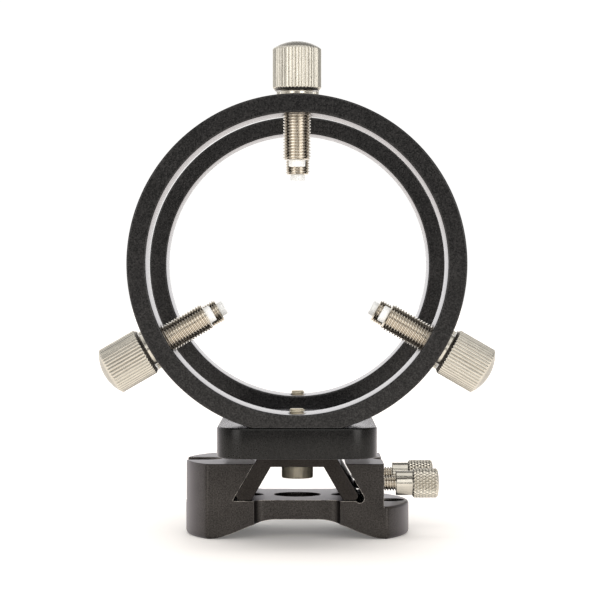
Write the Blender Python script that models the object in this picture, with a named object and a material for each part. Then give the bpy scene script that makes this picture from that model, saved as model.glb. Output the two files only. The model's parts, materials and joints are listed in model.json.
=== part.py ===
"""Twin-ring quick-release bracket that carries a small finder telescope.

Two round rings stand on a common bar. Three knurled thumbscrews with nylon
tips reach into each ring and centre the telescope tube. A dovetail shoe
under the bar sits in a clamp base, where two side thumbscrews press it
against the fixed jaw through small pressure pads.

Frame: +X to the right, +Y to the rear, +Z up. The origin is on the surface
that the base stands on, under the middle of the object. Units are metres.
"""
import math

import bmesh
import bpy
from mathutils import Matrix

MM = 0.001

# Fits, and how far a cutter runs past the face that it starts from
SEAT_GAP = 0.1 * MM
SHANK_GAP = 0.2 * MM
SPIGOT_GAP = 0.2 * MM
OVERRUN = 2.0 * MM

# Rings
RING_BORE_RADIUS = 37.5 * MM
RING_WALL = 4.75 * MM
RING_WIDTH = 16.0 * MM
RING_SPACING = 88.5 * MM
RING_CHAMFER = 0.5 * MM
RING_CENTRE_Z = 72.1 * MM
RING_OUTER_RADIUS = RING_BORE_RADIUS + RING_WALL

# Ring thumbscrews: M7, measured along the axis from the ring's centre
SCREW_ANGLES = {"top": 90.0, "left": 210.0, "right": 330.0}
SCREW_THREAD_RADIUS = 3.45 * MM
SCREW_THREAD_END = 26.1 * MM
SCREW_COLLAR_RADIUS = 4.1 * MM
SCREW_KNOB_RADIUS = 6.1 * MM
SCREW_KNOB_START = 43.3 * MM
SCREW_KNOB_RIM = 54.1 * MM
SCREW_DOME_HEIGHT = 1.7 * MM
SCREW_KNOB_CHAMFER = 0.65 * MM
SCREW_KNOB_CHAMFER_RISE = 0.8 * MM
SCREW_RIM_EDGE = 0.4 * MM
SCREW_LEAD_IN = 0.5 * MM
TIP_RADIUS = 2.1 * MM
TIP_END = 24.4 * MM
TIP_STEM_RADIUS = 1.3 * MM
TIP_STEM_LENGTH = 3.6 * MM
TIP_EDGE = 0.3 * MM

# Clamp base
BASE_LENGTH = 38.0 * MM
BASE_HALF_WIDTH = 30.0 * MM
BASE_CREASE_X = 23.8 * MM
JAW_TOP_Z = 19.75 * MM
SLOT_FLOOR_Z = 10.0 * MM
SLOT_SLOPE = math.tan(math.radians(30.0))
SLOT_LEFT_TOP_X = -11.4 * MM
SLOT_RIGHT_TOP_X = 12.6 * MM
SLOT_RELIEF_RADIUS = 1.2 * MM
SLOT_RELIEF_Z = 10.7 * MM
JAW_OUTER_X = 22.75 * MM
LUG_TOP_Z = 8.55 * MM
ARCH_CROWN_Z = 4.9 * MM
ARCH_CROWN_HALF = 5.5 * MM
ARCH_FOOT_X = 24.0 * MM
WAIST_HALF_WIDTH = 11.3 * MM
WAIST_SIDE_DEPTH = 2.85 * MM
WAIST_CENTRE_DEPTH = 3.1 * MM
CENTRE_HOLE_RADIUS = 6.3 * MM
FLOOR_HOLE_X = 12.8 * MM
FLOOR_HOLE_RADIUS = 2.15 * MM
FLOOR_HEAD_RADIUS = 3.5 * MM
FLOOR_HEAD_Z = 6.5 * MM
LUG_HOLE_X = 24.8 * MM
LUG_HOLE_RADIUS = 2.25 * MM
LUG_HEAD_RADIUS = 4.0 * MM
LUG_HEAD_Z = 4.2 * MM
POCKET_RADIUS = 4.5 * MM

# Dovetail shoe
SHOE_LENGTH = 38.0 * MM
SHOE_HEIGHT = 13.35 * MM
SHOE_TOP_HALF = 9.15 * MM
SHOE_WEB = 4.55 * MM
SHOE_INNER_TOP_HALF = 6.95 * MM
SHOE_TOE_RADIUS = 1.2 * MM
SHOE_BOTTOM_Z = SLOT_FLOOR_Z + 0.15 * MM
SHOE_TOP_Z = SHOE_BOTTOM_Z + SHOE_HEIGHT
SHOE_WEB_Z = SHOE_TOP_Z - SHOE_WEB
SHOE_SPOT_FACE = 0.65 * MM

# Bar
BAR_LENGTH = RING_SPACING + RING_WIDTH
BAR_HALF_WIDTH = 20.1 * MM
BAR_CORNER_RADIUS = 7.2 * MM
BAR_CHAMFER = 0.4 * MM
BAR_THICKNESS = 7.75 * MM
BAR_BOTTOM_Z = SHOE_TOP_Z + SEAT_GAP
BAR_TOP_Z = BAR_BOTTOM_Z + BAR_THICKNESS
RING_SEAT_Z = BAR_TOP_Z + SEAT_GAP

# Socket cap bolts, heads down: M4 under each ring, M5 through the shoe
BOLT_EDGE = 0.5 * MM
RING_BOLT_RADIUS = 2.0 * MM
RING_BOLT_HEAD_RADIUS = 3.5 * MM
RING_BOLT_HEAD_HEIGHT = 4.0 * MM
RING_BOLT_SOCKET = 3.0 * MM
RING_BOLT_SEAT_Z = 28.6 * MM
RING_BOLT_TOP_Z = 35.8 * MM
SHOE_BOLT_RADIUS = 2.5 * MM
SHOE_BOLT_HEAD_RADIUS = 4.25 * MM
SHOE_BOLT_HEAD_HEIGHT = 5.0 * MM
SHOE_BOLT_SOCKET = 4.0 * MM
SHOE_BOLT_SEAT_Z = SHOE_WEB_Z + SHOE_SPOT_FACE - SEAT_GAP
SHOE_BOLT_TOP_Z = 29.0 * MM

# Clamp thumbscrews: M4, along +X, with a pressure pad at the inner end
CLAMP_Z = 14.3 * MM
CLAMP_Y = 13.6 * MM
CLAMP_THREAD_RADIUS = 2.0 * MM
CLAMP_THREAD_END = 17.6 * MM
CLAMP_SHOULDER_START = 26.07 * MM
CLAMP_SHOULDER_RADIUS = 3.2 * MM
CLAMP_KNOB_START = 30.45 * MM
CLAMP_KNOB_RADIUS = 3.9 * MM
CLAMP_KNOB_RIM = 37.1 * MM
CLAMP_DOME_HEIGHT = 0.4 * MM
CLAMP_EDGE = 0.4 * MM
TAPPED_HOLE_START = 10.0 * MM
PAD_RADIUS = 1.5 * MM
PAD_NOSE_CENTRE = 16.31 * MM
PAD_STEM_RADIUS = 0.9 * MM
PAD_STEM_LENGTH = 2.0 * MM

# Facets of a full turn
RING_SEGMENTS = 84
SCREW_SEGMENTS = 20
HOLE_SEGMENTS = 20
CENTRE_HOLE_SEGMENTS = 32
CORNER_STEPS = 6

RINGS = {"front": -RING_SPACING / 2, "rear": RING_SPACING / 2}
CLAMPS = {"front": -CLAMP_Y, "rear": CLAMP_Y}


# ---------------------------------------------------------------- materials
def make_material(name, colour, roughness, metallic):
    """Return a Principled material of one finish."""
    material = bpy.data.materials.new(name)
    material.use_nodes = True
    shader = material.node_tree.nodes["Principled BSDF"]
    shader.inputs["Base Color"].default_value = (*colour, 1.0)
    shader.inputs["Roughness"].default_value = roughness
    shader.inputs["Metallic"].default_value = metallic
    material.diffuse_color = (*colour, 1.0)
    return material


# ------------------------------------------------------------------ outlines
def arc(centre_a, centre_b, radius, start, end, steps):
    """Return points of an arc, from one angle to another in degrees."""
    points = []
    for step in range(steps + 1):
        angle = math.radians(start + (end - start) * step / steps)
        points.append((centre_a + radius * math.cos(angle), centre_b + radius * math.sin(angle)))
    return points


def rounded_rectangle(half_a, half_b, radius):
    """Return a rectangle about the origin with round corners."""
    outline = []
    corners = ((1, 1, 0.0), (-1, 1, 90.0), (-1, -1, 180.0), (1, -1, 270.0))
    for side_a, side_b, start in corners:
        centre_a = side_a * (half_a - radius)
        centre_b = side_b * (half_b - radius)
        outline += arc(centre_a, centre_b, radius, start, start + 90.0, CORNER_STEPS)
    return outline


def dome(rim_radius, rim_height, rise, steps):
    """Return a profile over a spherical cap, from the rim to the axis."""
    sphere = (rim_radius ** 2 + rise ** 2) / (2 * rise)
    half_angle = math.asin(rim_radius / sphere)
    centre = rim_height + rise - sphere
    profile = []
    for step in range(steps + 1):
        angle = half_angle * (1 - step / steps)
        profile.append((sphere * math.sin(angle), centre + sphere * math.cos(angle)))
    return profile


# -------------------------------------------------------------------- solids
def turned(profile, segments, closed=False):
    """Spin a (radius, height) profile about Z into a closed solid."""
    solid = bmesh.new()
    points = [solid.verts.new((radius, 0.0, height)) for radius, height in profile]
    pairs = list(zip(points, points[1:]))
    if closed:
        pairs.append((points[-1], points[0]))
    edges = [solid.edges.new(pair) for pair in pairs]
    bmesh.ops.spin(
        solid, geom=points + edges, cent=(0, 0, 0), axis=(0, 0, 1), angle=math.tau, steps=segments
    )
    bmesh.ops.remove_doubles(solid, verts=solid.verts, dist=1e-7)
    bmesh.ops.recalc_face_normals(solid, faces=solid.faces)
    return solid


def cylinder(radius, bottom, top, segments=HOLE_SEGMENTS):
    """Return a plain cylinder about Z."""
    return turned([(0, bottom), (radius, bottom), (radius, top), (0, top)], segments)


def prism(outline, bottom, top):
    """Extrude an outline in X and Y from one height to another."""
    solid = bmesh.new()
    face = solid.faces.new([solid.verts.new((a, b, bottom)) for a, b in outline])
    lifted = bmesh.ops.extrude_face_region(solid, geom=[face])["geom"]
    moved = [item for item in lifted if isinstance(item, bmesh.types.BMVert)]
    bmesh.ops.translate(solid, verts=moved, vec=(0, 0, top - bottom))
    bmesh.ops.recalc_face_normals(solid, faces=solid.faces)
    return solid


def lengthwise(outline, length):
    """Extrude an outline in X and Z along Y, centred on the origin."""
    solid = prism(outline, -length / 2, length / 2)
    solid.transform(Matrix.Rotation(math.radians(90.0), 4, "X"))
    return solid


def moved(solid, x=0.0, y=0.0, z=0.0):
    """Shift a solid and return it."""
    solid.transform(Matrix.Translation((x, y, z)))
    return solid


def radial(angle):
    """Return the turn about Y that takes +Z to an angle in the XZ plane."""
    return Matrix.Rotation(math.radians(90.0 - angle), 4, "Y")


def make_object(name, solid, material=None, parent=None, matrix=None):
    """Wrap a solid in an object, shaded smooth with sharp edges kept."""
    mesh = bpy.data.meshes.new(name)
    solid.to_mesh(mesh)
    solid.free()
    obj = bpy.data.objects.new(name, mesh)
    bpy.context.scene.collection.objects.link(obj)
    if material:
        mesh.materials.append(material)
    obj.parent = parent
    if matrix:
        obj.matrix_local = matrix
    return obj


def cut(obj, *solids):
    """Take solids that don't touch each other out of an object's mesh."""
    tool = bmesh.new()
    for solid in solids:
        piece = bpy.data.meshes.new("cutter_piece")
        solid.to_mesh(piece)
        solid.free()
        tool.from_mesh(piece)
        bpy.data.meshes.remove(piece)
    cutter = make_object("cutter", tool)
    boolean = obj.modifiers.new("cut", "BOOLEAN")
    boolean.operation = "DIFFERENCE"
    boolean.solver = "EXACT"
    boolean.object = cutter
    view = bpy.context.evaluated_depsgraph_get()
    mesh = bpy.data.meshes.new_from_object(obj.evaluated_get(view))
    obj.modifiers.clear()
    obj.data = mesh
    bpy.data.objects.remove(cutter, do_unlink=True)


def shade(obj):
    """Shade round faces smooth and keep corners sharp."""
    obj.data.shade_smooth()
    obj.data.set_sharp_from_angle(angle=math.radians(30.0))


# --------------------------------------------------------------------- rings
def make_ring(name, y, material, parent):
    """Make one ring: bevelled hoop, flat seat, three tapped holes and a bolt hole."""
    half = RING_WIDTH / 2
    inner = RING_BORE_RADIUS
    outer = RING_OUTER_RADIUS
    edge = RING_CHAMFER
    profile = [
        (inner + edge, -half), (outer - edge, -half), (outer, -half + edge), (outer, half - edge),
        (outer - edge, half), (inner + edge, half), (inner, half - edge), (inner, -half + edge),
    ]
    hoop = turned(profile, RING_SEGMENTS, closed=True)
    hoop.transform(Matrix.Rotation(math.radians(90.0), 4, "X"))
    ring = make_object(name, hoop, material, parent)

    seat_drop = RING_CENTRE_Z - RING_SEAT_Z
    cut(ring, prism(rounded_rectangle(outer, RING_WIDTH, OVERRUN), -outer - OVERRUN, -seat_drop))
    holes = []
    for angle in SCREW_ANGLES.values():
        hole = cylinder(SCREW_THREAD_RADIUS + SHANK_GAP, inner - OVERRUN, outer + OVERRUN)
        hole.transform(radial(angle))
        holes.append(hole)
    holes.append(cylinder(RING_BOLT_RADIUS + SHANK_GAP, -outer - OVERRUN, -inner + OVERRUN))
    cut(ring, *holes)

    ring.location = (0.0, y, RING_CENTRE_Z)
    shade(ring)
    return ring


def make_thumbscrew(name, material, tip):
    """Make a knurled M7 thumbscrew on its tip's axis, +Z outward."""
    collar_bottom = RING_OUTER_RADIUS + SEAT_GAP
    socket = TIP_STEM_RADIUS + SPIGOT_GAP
    socket_end = SCREW_THREAD_END + TIP_STEM_LENGTH + SPIGOT_GAP
    knob = SCREW_KNOB_RADIUS
    profile = [
        (0.0, socket_end),
        (socket, socket_end),
        (socket, SCREW_THREAD_END),
        (SCREW_THREAD_RADIUS - SCREW_LEAD_IN, SCREW_THREAD_END),
        (SCREW_THREAD_RADIUS, SCREW_THREAD_END + SCREW_LEAD_IN),
        (SCREW_THREAD_RADIUS, collar_bottom),
        (SCREW_COLLAR_RADIUS, collar_bottom),
        (SCREW_COLLAR_RADIUS, SCREW_KNOB_START),
        (knob - SCREW_KNOB_CHAMFER, SCREW_KNOB_START),
        (knob, SCREW_KNOB_START + SCREW_KNOB_CHAMFER_RISE),
        (knob, SCREW_KNOB_RIM - SCREW_RIM_EDGE),
    ]
    profile += dome(knob - SCREW_RIM_EDGE, SCREW_KNOB_RIM, SCREW_DOME_HEIGHT, 3)
    profile[-1] = (0.0, profile[-1][1])
    screw = make_object(name, turned(profile, SCREW_SEGMENTS), material, tip)
    shade(screw)
    return screw


def make_tip(name, y, angle, material, parent):
    """Make the nylon tip: a short flat-ended pin with a stem in the screw."""
    head_back = SCREW_THREAD_END - SEAT_GAP
    profile = [
        (0.0, TIP_END),
        (TIP_RADIUS - TIP_EDGE, TIP_END),
        (TIP_RADIUS, TIP_END + TIP_EDGE),
        (TIP_RADIUS, head_back),
        (TIP_STEM_RADIUS, head_back),
        (TIP_STEM_RADIUS, SCREW_THREAD_END + TIP_STEM_LENGTH),
        (0.0, SCREW_THREAD_END + TIP_STEM_LENGTH),
    ]
    matrix = Matrix.Translation((0.0, y, RING_CENTRE_Z)) @ radial(angle)
    tip = make_object(name, turned(profile, SCREW_SEGMENTS), material, parent, matrix)
    shade(tip)
    return tip


# ------------------------------------------------------------- bar and shoe
def make_bar(material, parent):
    """Make the bar: a round-cornered plate with bolt holes from below."""
    outline = rounded_rectangle(BAR_HALF_WIDTH, BAR_LENGTH / 2, BAR_CORNER_RADIUS)
    inset = rounded_rectangle(
        BAR_HALF_WIDTH - BAR_CHAMFER, BAR_LENGTH / 2 - BAR_CHAMFER, BAR_CORNER_RADIUS - BAR_CHAMFER
    )
    plate = bmesh.new()
    layers = (
        (inset, BAR_BOTTOM_Z),
        (outline, BAR_BOTTOM_Z + BAR_CHAMFER),
        (outline, BAR_TOP_Z - BAR_CHAMFER),
        (inset, BAR_TOP_Z),
    )
    rows = [[plate.verts.new((a, b, height)) for a, b in points] for points, height in layers]
    plate.faces.new(rows[0])
    plate.faces.new(rows[-1])
    for below, above in zip(rows, rows[1:]):
        for index in range(len(below)):
            nearby = index - 1
            plate.faces.new((below[nearby], below[index], above[index], above[nearby]))
    bmesh.ops.recalc_face_normals(plate, faces=plate.faces)
    bar = make_object("ring_bar", plate, material, parent)

    well_top = RING_BOLT_SEAT_Z + SEAT_GAP
    well_radius = RING_BOLT_HEAD_RADIUS + SHANK_GAP
    hole_radius = RING_BOLT_RADIUS + SHANK_GAP
    stepped = [
        (0.0, BAR_BOTTOM_Z - OVERRUN),
        (well_radius, BAR_BOTTOM_Z - OVERRUN),
        (well_radius, well_top),
        (hole_radius, well_top),
        (hole_radius, BAR_TOP_Z + OVERRUN),
        (0.0, BAR_TOP_Z + OVERRUN),
    ]
    holes = [moved(turned(stepped, HOLE_SEGMENTS), y=y) for y in RINGS.values()]
    blind_top = SHOE_BOLT_TOP_Z + BOLT_EDGE
    holes.append(cylinder(SHOE_BOLT_RADIUS + SHANK_GAP, BAR_BOTTOM_Z - OVERRUN, blind_top))
    cut(bar, *holes)
    shade(bar)
    return bar


def make_shoe(material, parent):
    """Make the hollow dovetail shoe under the bar."""
    toe = SHOE_TOE_RADIUS
    bottom_half = SHOE_TOP_HALF + SHOE_HEIGHT * SLOT_SLOPE
    inner_bottom_half = SHOE_INNER_TOP_HALF + (SHOE_WEB_Z - SHOE_BOTTOM_Z) * SLOT_SLOPE
    # The toe is the acute outer corner; its circle touches the side and the bottom.
    toe_x = bottom_half - toe / math.tan(math.radians(30.0))
    right = [(SHOE_TOP_HALF, SHOE_TOP_Z)]
    right += arc(toe_x, SHOE_BOTTOM_Z + toe, toe, 30.0, -90.0, CORNER_STEPS)
    right += [(inner_bottom_half, SHOE_BOTTOM_Z), (SHOE_INNER_TOP_HALF, SHOE_WEB_Z)]
    left = [(-a, b) for a, b in reversed(right)]
    shoe = make_object("dovetail_shoe", lengthwise(right + left, SHOE_LENGTH), material, parent)
    spot_radius = SHOE_BOLT_HEAD_RADIUS + SHANK_GAP
    hole_radius = SHOE_BOLT_RADIUS + SHANK_GAP
    cut(shoe, turned([
        (0.0, SHOE_WEB_Z - OVERRUN),
        (spot_radius, SHOE_WEB_Z - OVERRUN),
        (spot_radius, SHOE_WEB_Z + SHOE_SPOT_FACE),
        (hole_radius, SHOE_WEB_Z + SHOE_SPOT_FACE),
        (hole_radius, SHOE_TOP_Z + OVERRUN),
        (0.0, SHOE_TOP_Z + OVERRUN),
    ], HOLE_SEGMENTS))
    shade(shoe)
    return shoe


def make_bolt(name, radius, head_radius, head_height, socket, seat_z, top_z, material, parent):
    """Make a socket cap bolt that points up from its head's seat, socket below."""
    bottom_z = seat_z - head_height
    edge = BOLT_EDGE
    profile = [
        (0.0, bottom_z),
        (head_radius - edge, bottom_z),
        (head_radius, bottom_z + edge),
        (head_radius, seat_z),
        (radius, seat_z),
        (radius, top_z - edge),
        (radius - edge, top_z),
        (0.0, top_z),
    ]
    bolt = make_object(name, turned(profile, SCREW_SEGMENTS), material, parent)
    # A hex socket of this size across its flats, half a head deep.
    cut(bolt, cylinder(socket / math.sqrt(3.0), bottom_z - OVERRUN, seat_z - head_height / 2, 6))
    shade(bolt)
    return bolt


def make_bolts(material, parent):
    """Make the bolt under each ring and the one through the shoe."""
    for place, y in RINGS.items():
        bolt = make_bolt(
            f"ring_bolt_{place}", RING_BOLT_RADIUS, RING_BOLT_HEAD_RADIUS, RING_BOLT_HEAD_HEIGHT,
            RING_BOLT_SOCKET, RING_BOLT_SEAT_Z, RING_BOLT_TOP_Z, material, parent
        )
        bolt.location = (0.0, y, 0.0)
    make_bolt(
        "shoe_bolt", SHOE_BOLT_RADIUS, SHOE_BOLT_HEAD_RADIUS, SHOE_BOLT_HEAD_HEIGHT,
        SHOE_BOLT_SOCKET, SHOE_BOLT_SEAT_Z, SHOE_BOLT_TOP_Z, material, parent
    )


# ---------------------------------------------------------------- clamp base
def base_outline():
    """Return the base's plan: bowed ends and a waisted front and rear."""
    half_length = BASE_LENGTH / 2
    bow = BASE_HALF_WIDTH - BASE_CREASE_X
    end_radius = (half_length ** 2 + bow ** 2) / (2 * bow)
    end_centre = BASE_HALF_WIDTH - end_radius
    end_angle = math.degrees(math.asin(half_length / end_radius))
    fillet = WAIST_SIDE_DEPTH
    fillet_x = WAIST_HALF_WIDTH - fillet
    sag = WAIST_CENTRE_DEPTH - WAIST_SIDE_DEPTH
    waist_radius = (fillet_x ** 2 + sag ** 2) / (2 * sag)
    waist_y = half_length - WAIST_CENTRE_DEPTH + waist_radius
    waist_angle = math.degrees(math.asin(fillet_x / waist_radius))
    # Right half of the rear edge, from the middle outward, then the right end.
    waist = arc(0.0, waist_y, waist_radius, -90.0, -90.0 + waist_angle, CORNER_STEPS)
    corner = arc(fillet_x, half_length, fillet, -90.0, 0.0, CORNER_STEPS)
    end = arc(end_centre, 0.0, end_radius, end_angle, 0.0, 2 * CORNER_STEPS)
    quarter = waist[:-1] + corner + end
    front = [(a, -b) for a, b in reversed(quarter[:-1])]
    right = quarter + front
    left = [(-a, b) for a, b in reversed(right[1:-1])]
    return right + left


def arch_outline():
    """Return the hollow under the base: flat crown, S-curved down to the feet."""
    steps = 3 * CORNER_STEPS
    right = []
    for step in range(steps + 1):
        share = step / steps
        x = ARCH_CROWN_HALF + (ARCH_FOOT_X - ARCH_CROWN_HALF) * share
        right.append((x, ARCH_CROWN_Z * 0.5 * (1 + math.cos(math.pi * share))))
    right.append((ARCH_FOOT_X, -OVERRUN))
    left = [(-a, b) for a, b in reversed(right)]
    return left + right


def slot_outline():
    """Return the dovetail slot, run past the jaw tops along its own slopes."""
    drop = (JAW_TOP_Z - SLOT_FLOOR_Z) * SLOT_SLOPE
    rise = OVERRUN * SLOT_SLOPE
    # A round relief in the right corner touches the jaw's slope and dips below the floor.
    relief = SLOT_RELIEF_RADIUS
    slope_x = SLOT_RIGHT_TOP_X + (JAW_TOP_Z - SLOT_RELIEF_Z) * SLOT_SLOPE
    relief_x = slope_x - relief * math.hypot(1.0, SLOT_SLOPE)
    floor_angle = math.degrees(math.asin((SLOT_RELIEF_Z - SLOT_FLOOR_Z) / relief))
    corner = arc(relief_x, SLOT_RELIEF_Z, relief, floor_angle - 180.0, 30.0, 2 * CORNER_STEPS)
    return [(SLOT_LEFT_TOP_X - drop, SLOT_FLOOR_Z)] + corner + [
        (SLOT_RIGHT_TOP_X - rise, JAW_TOP_Z + OVERRUN),
        (SLOT_LEFT_TOP_X + rise, JAW_TOP_Z + OVERRUN),
    ]


def counterbored(x, head_radius, head_bottom, head_top, hole_radius):
    """Return a vertical stepped hole that goes down through the base."""
    profile = [
        (0.0, -OVERRUN),
        (hole_radius, -OVERRUN),
        (hole_radius, head_bottom),
        (head_radius, head_bottom),
        (head_radius, head_top),
        (0.0, head_top),
    ]
    return moved(turned(profile, HOLE_SEGMENTS), x=x)


def make_base(material):
    """Make the clamp base with its fixed left jaw and tapped right jaw."""
    base = make_object("clamp_base", prism(base_outline(), 0.0, JAW_TOP_Z), material)
    long_cut = BASE_LENGTH + 2 * OVERRUN
    cut(base, lengthwise(arch_outline(), long_cut), lengthwise(slot_outline(), long_cut))

    # The right lug is open above and bites a round notch out of the jaw.
    reach = BASE_HALF_WIDTH + OVERRUN
    bite = math.degrees(math.acos((JAW_OUTER_X - LUG_HOLE_X) / POCKET_RADIUS))
    lug = [(JAW_OUTER_X, -reach), (reach, -reach), (reach, reach), (JAW_OUTER_X, reach)]
    lug += arc(LUG_HOLE_X, 0.0, POCKET_RADIUS, bite, 360.0 - bite, 2 * CORNER_STEPS)
    # The left pocket is a round-ended slot that runs out of the left end.
    pocket = [(-reach, POCKET_RADIUS), (-reach, -POCKET_RADIUS)]
    pocket += arc(-LUG_HOLE_X, 0.0, POCKET_RADIUS, -90.0, 90.0, 2 * CORNER_STEPS)
    cut_top = JAW_TOP_Z + OVERRUN
    cut(base, prism(lug, LUG_TOP_Z, cut_top), prism(pocket, LUG_TOP_Z, cut_top))

    centre_top = SLOT_FLOOR_Z + OVERRUN
    holes = [cylinder(CENTRE_HOLE_RADIUS, -OVERRUN, centre_top, CENTRE_HOLE_SEGMENTS)]
    for side in (-1, 1):
        holes.append(counterbored(
            side * FLOOR_HOLE_X, FLOOR_HEAD_RADIUS, FLOOR_HEAD_Z,
            SLOT_FLOOR_Z + SEAT_GAP, FLOOR_HOLE_RADIUS
        ))
        holes.append(counterbored(
            side * LUG_HOLE_X, LUG_HEAD_RADIUS, LUG_HEAD_Z, LUG_TOP_Z + OVERRUN, LUG_HOLE_RADIUS
        ))
    for y in CLAMPS.values():
        tapped_radius = CLAMP_THREAD_RADIUS + SHANK_GAP
        tapped = cylinder(tapped_radius, TAPPED_HOLE_START, JAW_OUTER_X + OVERRUN)
        tapped.transform(radial(0.0))
        holes.append(moved(tapped, y=y, z=CLAMP_Z))
    cut(base, *holes)
    shade(base)
    return base


# -------------------------------------------------------------- clamp screws
def make_pad(name, y, material, parent):
    """Make a round-nosed pressure pad with a stem in its screw, +Z along the axis."""
    back = CLAMP_THREAD_END - SEAT_GAP
    stem_end = CLAMP_THREAD_END + PAD_STEM_LENGTH
    nose = []
    for step in range(5):
        angle = math.radians(90.0 * step / 4)
        nose.append((
            PAD_RADIUS * math.sin(angle), PAD_NOSE_CENTRE - PAD_RADIUS * math.cos(angle)
        ))
    profile = nose + [
        (PAD_RADIUS, back),
        (PAD_STEM_RADIUS, back),
        (PAD_STEM_RADIUS, stem_end),
        (0.0, stem_end),
    ]
    matrix = Matrix.Translation((0.0, y, CLAMP_Z)) @ radial(0.0)
    pad = make_object(name, turned(profile, SCREW_SEGMENTS), material, parent, matrix)
    shade(pad)
    return pad


def make_clamp_screw(name, material, pad):
    """Make a shouldered M4 thumbscrew on its pad's axis, +Z outward."""
    socket = PAD_STEM_RADIUS + SPIGOT_GAP
    socket_end = CLAMP_THREAD_END + PAD_STEM_LENGTH + SPIGOT_GAP
    edge = CLAMP_EDGE
    profile = [
        (0.0, socket_end),
        (socket, socket_end),
        (socket, CLAMP_THREAD_END),
        (CLAMP_THREAD_RADIUS - edge, CLAMP_THREAD_END),
        (CLAMP_THREAD_RADIUS, CLAMP_THREAD_END + edge),
        (CLAMP_THREAD_RADIUS, CLAMP_SHOULDER_START),
        (CLAMP_SHOULDER_RADIUS, CLAMP_SHOULDER_START),
        (CLAMP_SHOULDER_RADIUS, CLAMP_KNOB_START),
        (CLAMP_KNOB_RADIUS - edge, CLAMP_KNOB_START),
        (CLAMP_KNOB_RADIUS, CLAMP_KNOB_START + edge),
        (CLAMP_KNOB_RADIUS, CLAMP_KNOB_RIM - edge),
    ]
    profile += dome(CLAMP_KNOB_RADIUS - edge, CLAMP_KNOB_RIM, CLAMP_DOME_HEIGHT, 2)
    profile[-1] = (0.0, profile[-1][1])
    screw = make_object(name, turned(profile, SCREW_SEGMENTS), material, pad)
    shade(screw)
    return screw


def main():
    """Clear the scene and assemble the bracket."""
    for old in list(bpy.data.objects):
        bpy.data.objects.remove(old, do_unlink=True)

    black_anodised = make_material("black_anodised_aluminium", (0.018, 0.017, 0.017), 0.42, 0.6)
    nickel = make_material("nickel_plated_brass", (0.62, 0.57, 0.49), 0.28, 1.0)
    nylon = make_material("white_nylon", (0.83, 0.82, 0.80), 0.5, 0.0)
    black_plastic = make_material("black_acetal", (0.02, 0.02, 0.02), 0.45, 0.0)

    base = make_base(black_anodised)
    carrier = bpy.data.objects.new("carrier", None)
    bpy.context.scene.collection.objects.link(carrier)
    carrier.parent = base

    make_shoe(black_anodised, carrier)
    make_bar(black_anodised, carrier)
    make_bolts(nickel, carrier)
    for place, y in RINGS.items():
        make_ring(f"ring_{place}", y, black_anodised, carrier)
        for side, angle in SCREW_ANGLES.items():
            tip = make_tip(f"nylon_tip_{place}_{side}", y, angle, nylon, carrier)
            make_thumbscrew(f"thumbscrew_{place}_{side}", nickel, tip)
    for place, y in CLAMPS.items():
        pad = make_pad(f"clamp_pad_{place}", y, black_plastic, base)
        make_clamp_screw(f"clamp_screw_{place}", nickel, pad)


main()
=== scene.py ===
"""Looks of the twin-ring finder bracket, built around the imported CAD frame.

Every CAD node is remade as a fine mesh with softened edges, the screws with
real threads and knurls. Places come from the CAD nodes' boxes and joints.
Units are metres, +Z up, with the front along -Y.
"""
import functools
import json
import math

import bmesh
import bpy
import numpy as np
from mathutils import Matrix, Vector


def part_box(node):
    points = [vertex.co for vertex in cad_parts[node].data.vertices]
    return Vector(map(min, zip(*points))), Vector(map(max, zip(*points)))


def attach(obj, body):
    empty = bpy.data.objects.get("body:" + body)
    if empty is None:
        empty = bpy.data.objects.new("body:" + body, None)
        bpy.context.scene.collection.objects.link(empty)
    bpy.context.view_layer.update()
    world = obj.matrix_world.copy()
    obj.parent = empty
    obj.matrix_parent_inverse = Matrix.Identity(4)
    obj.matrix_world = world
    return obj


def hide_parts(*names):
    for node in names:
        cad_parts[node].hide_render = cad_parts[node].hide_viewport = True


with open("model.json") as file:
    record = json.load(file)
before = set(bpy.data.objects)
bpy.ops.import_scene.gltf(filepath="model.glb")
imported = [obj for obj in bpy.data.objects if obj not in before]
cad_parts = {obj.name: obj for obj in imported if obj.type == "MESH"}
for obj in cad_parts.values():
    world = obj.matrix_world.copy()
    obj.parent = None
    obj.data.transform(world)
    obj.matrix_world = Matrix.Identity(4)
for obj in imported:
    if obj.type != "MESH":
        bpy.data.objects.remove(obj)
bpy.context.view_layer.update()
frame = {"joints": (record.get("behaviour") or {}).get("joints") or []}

MM = 0.001
JOINTS = {joint["name"]: joint for joint in frame["joints"]}
PLACES = ("front", "rear")
SIDES = ("top", "left", "right")

# Rings, with countersunk holes for their screws
RING_WALL = 4.75 * MM
RING_EDGE = 0.42 * MM
COUNTERSINK = 0.35 * MM
RING_COLUMNS = 240

# Ring thumbscrews, measured outward from the ring's centre
THREAD_RADIUS = 3.44 * MM
THREAD_PITCH = 0.75 * MM
THREAD_DEPTH = 0.36 * MM
THREAD_END = 26.1 * MM
THREAD_GAP = 0.06 * MM
COLLAR_RADIUS = 4.1 * MM
COLLAR_GAP = 0.1 * MM
KNOB_RADIUS = 6.09 * MM
KNOB_START = 43.3 * MM
KNOB_RIM = 54.1 * MM
KNOB_CHAMFER = 0.65 * MM
KNOB_CHAMFER_RISE = 0.8 * MM
KNOB_RIM_CHAMFER = 0.35 * MM
KNOB_ROW = 0.4 * MM
DOME_RISE = 1.68 * MM
KNURL_TEETH = 42
KNURL_DEPTH = 0.29 * MM
KNURL_COLUMNS = 8 * KNURL_TEETH
TIP_RADIUS = 2.09 * MM
TIP_END = 24.42 * MM
TIP_EDGE = 0.25 * MM

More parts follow.
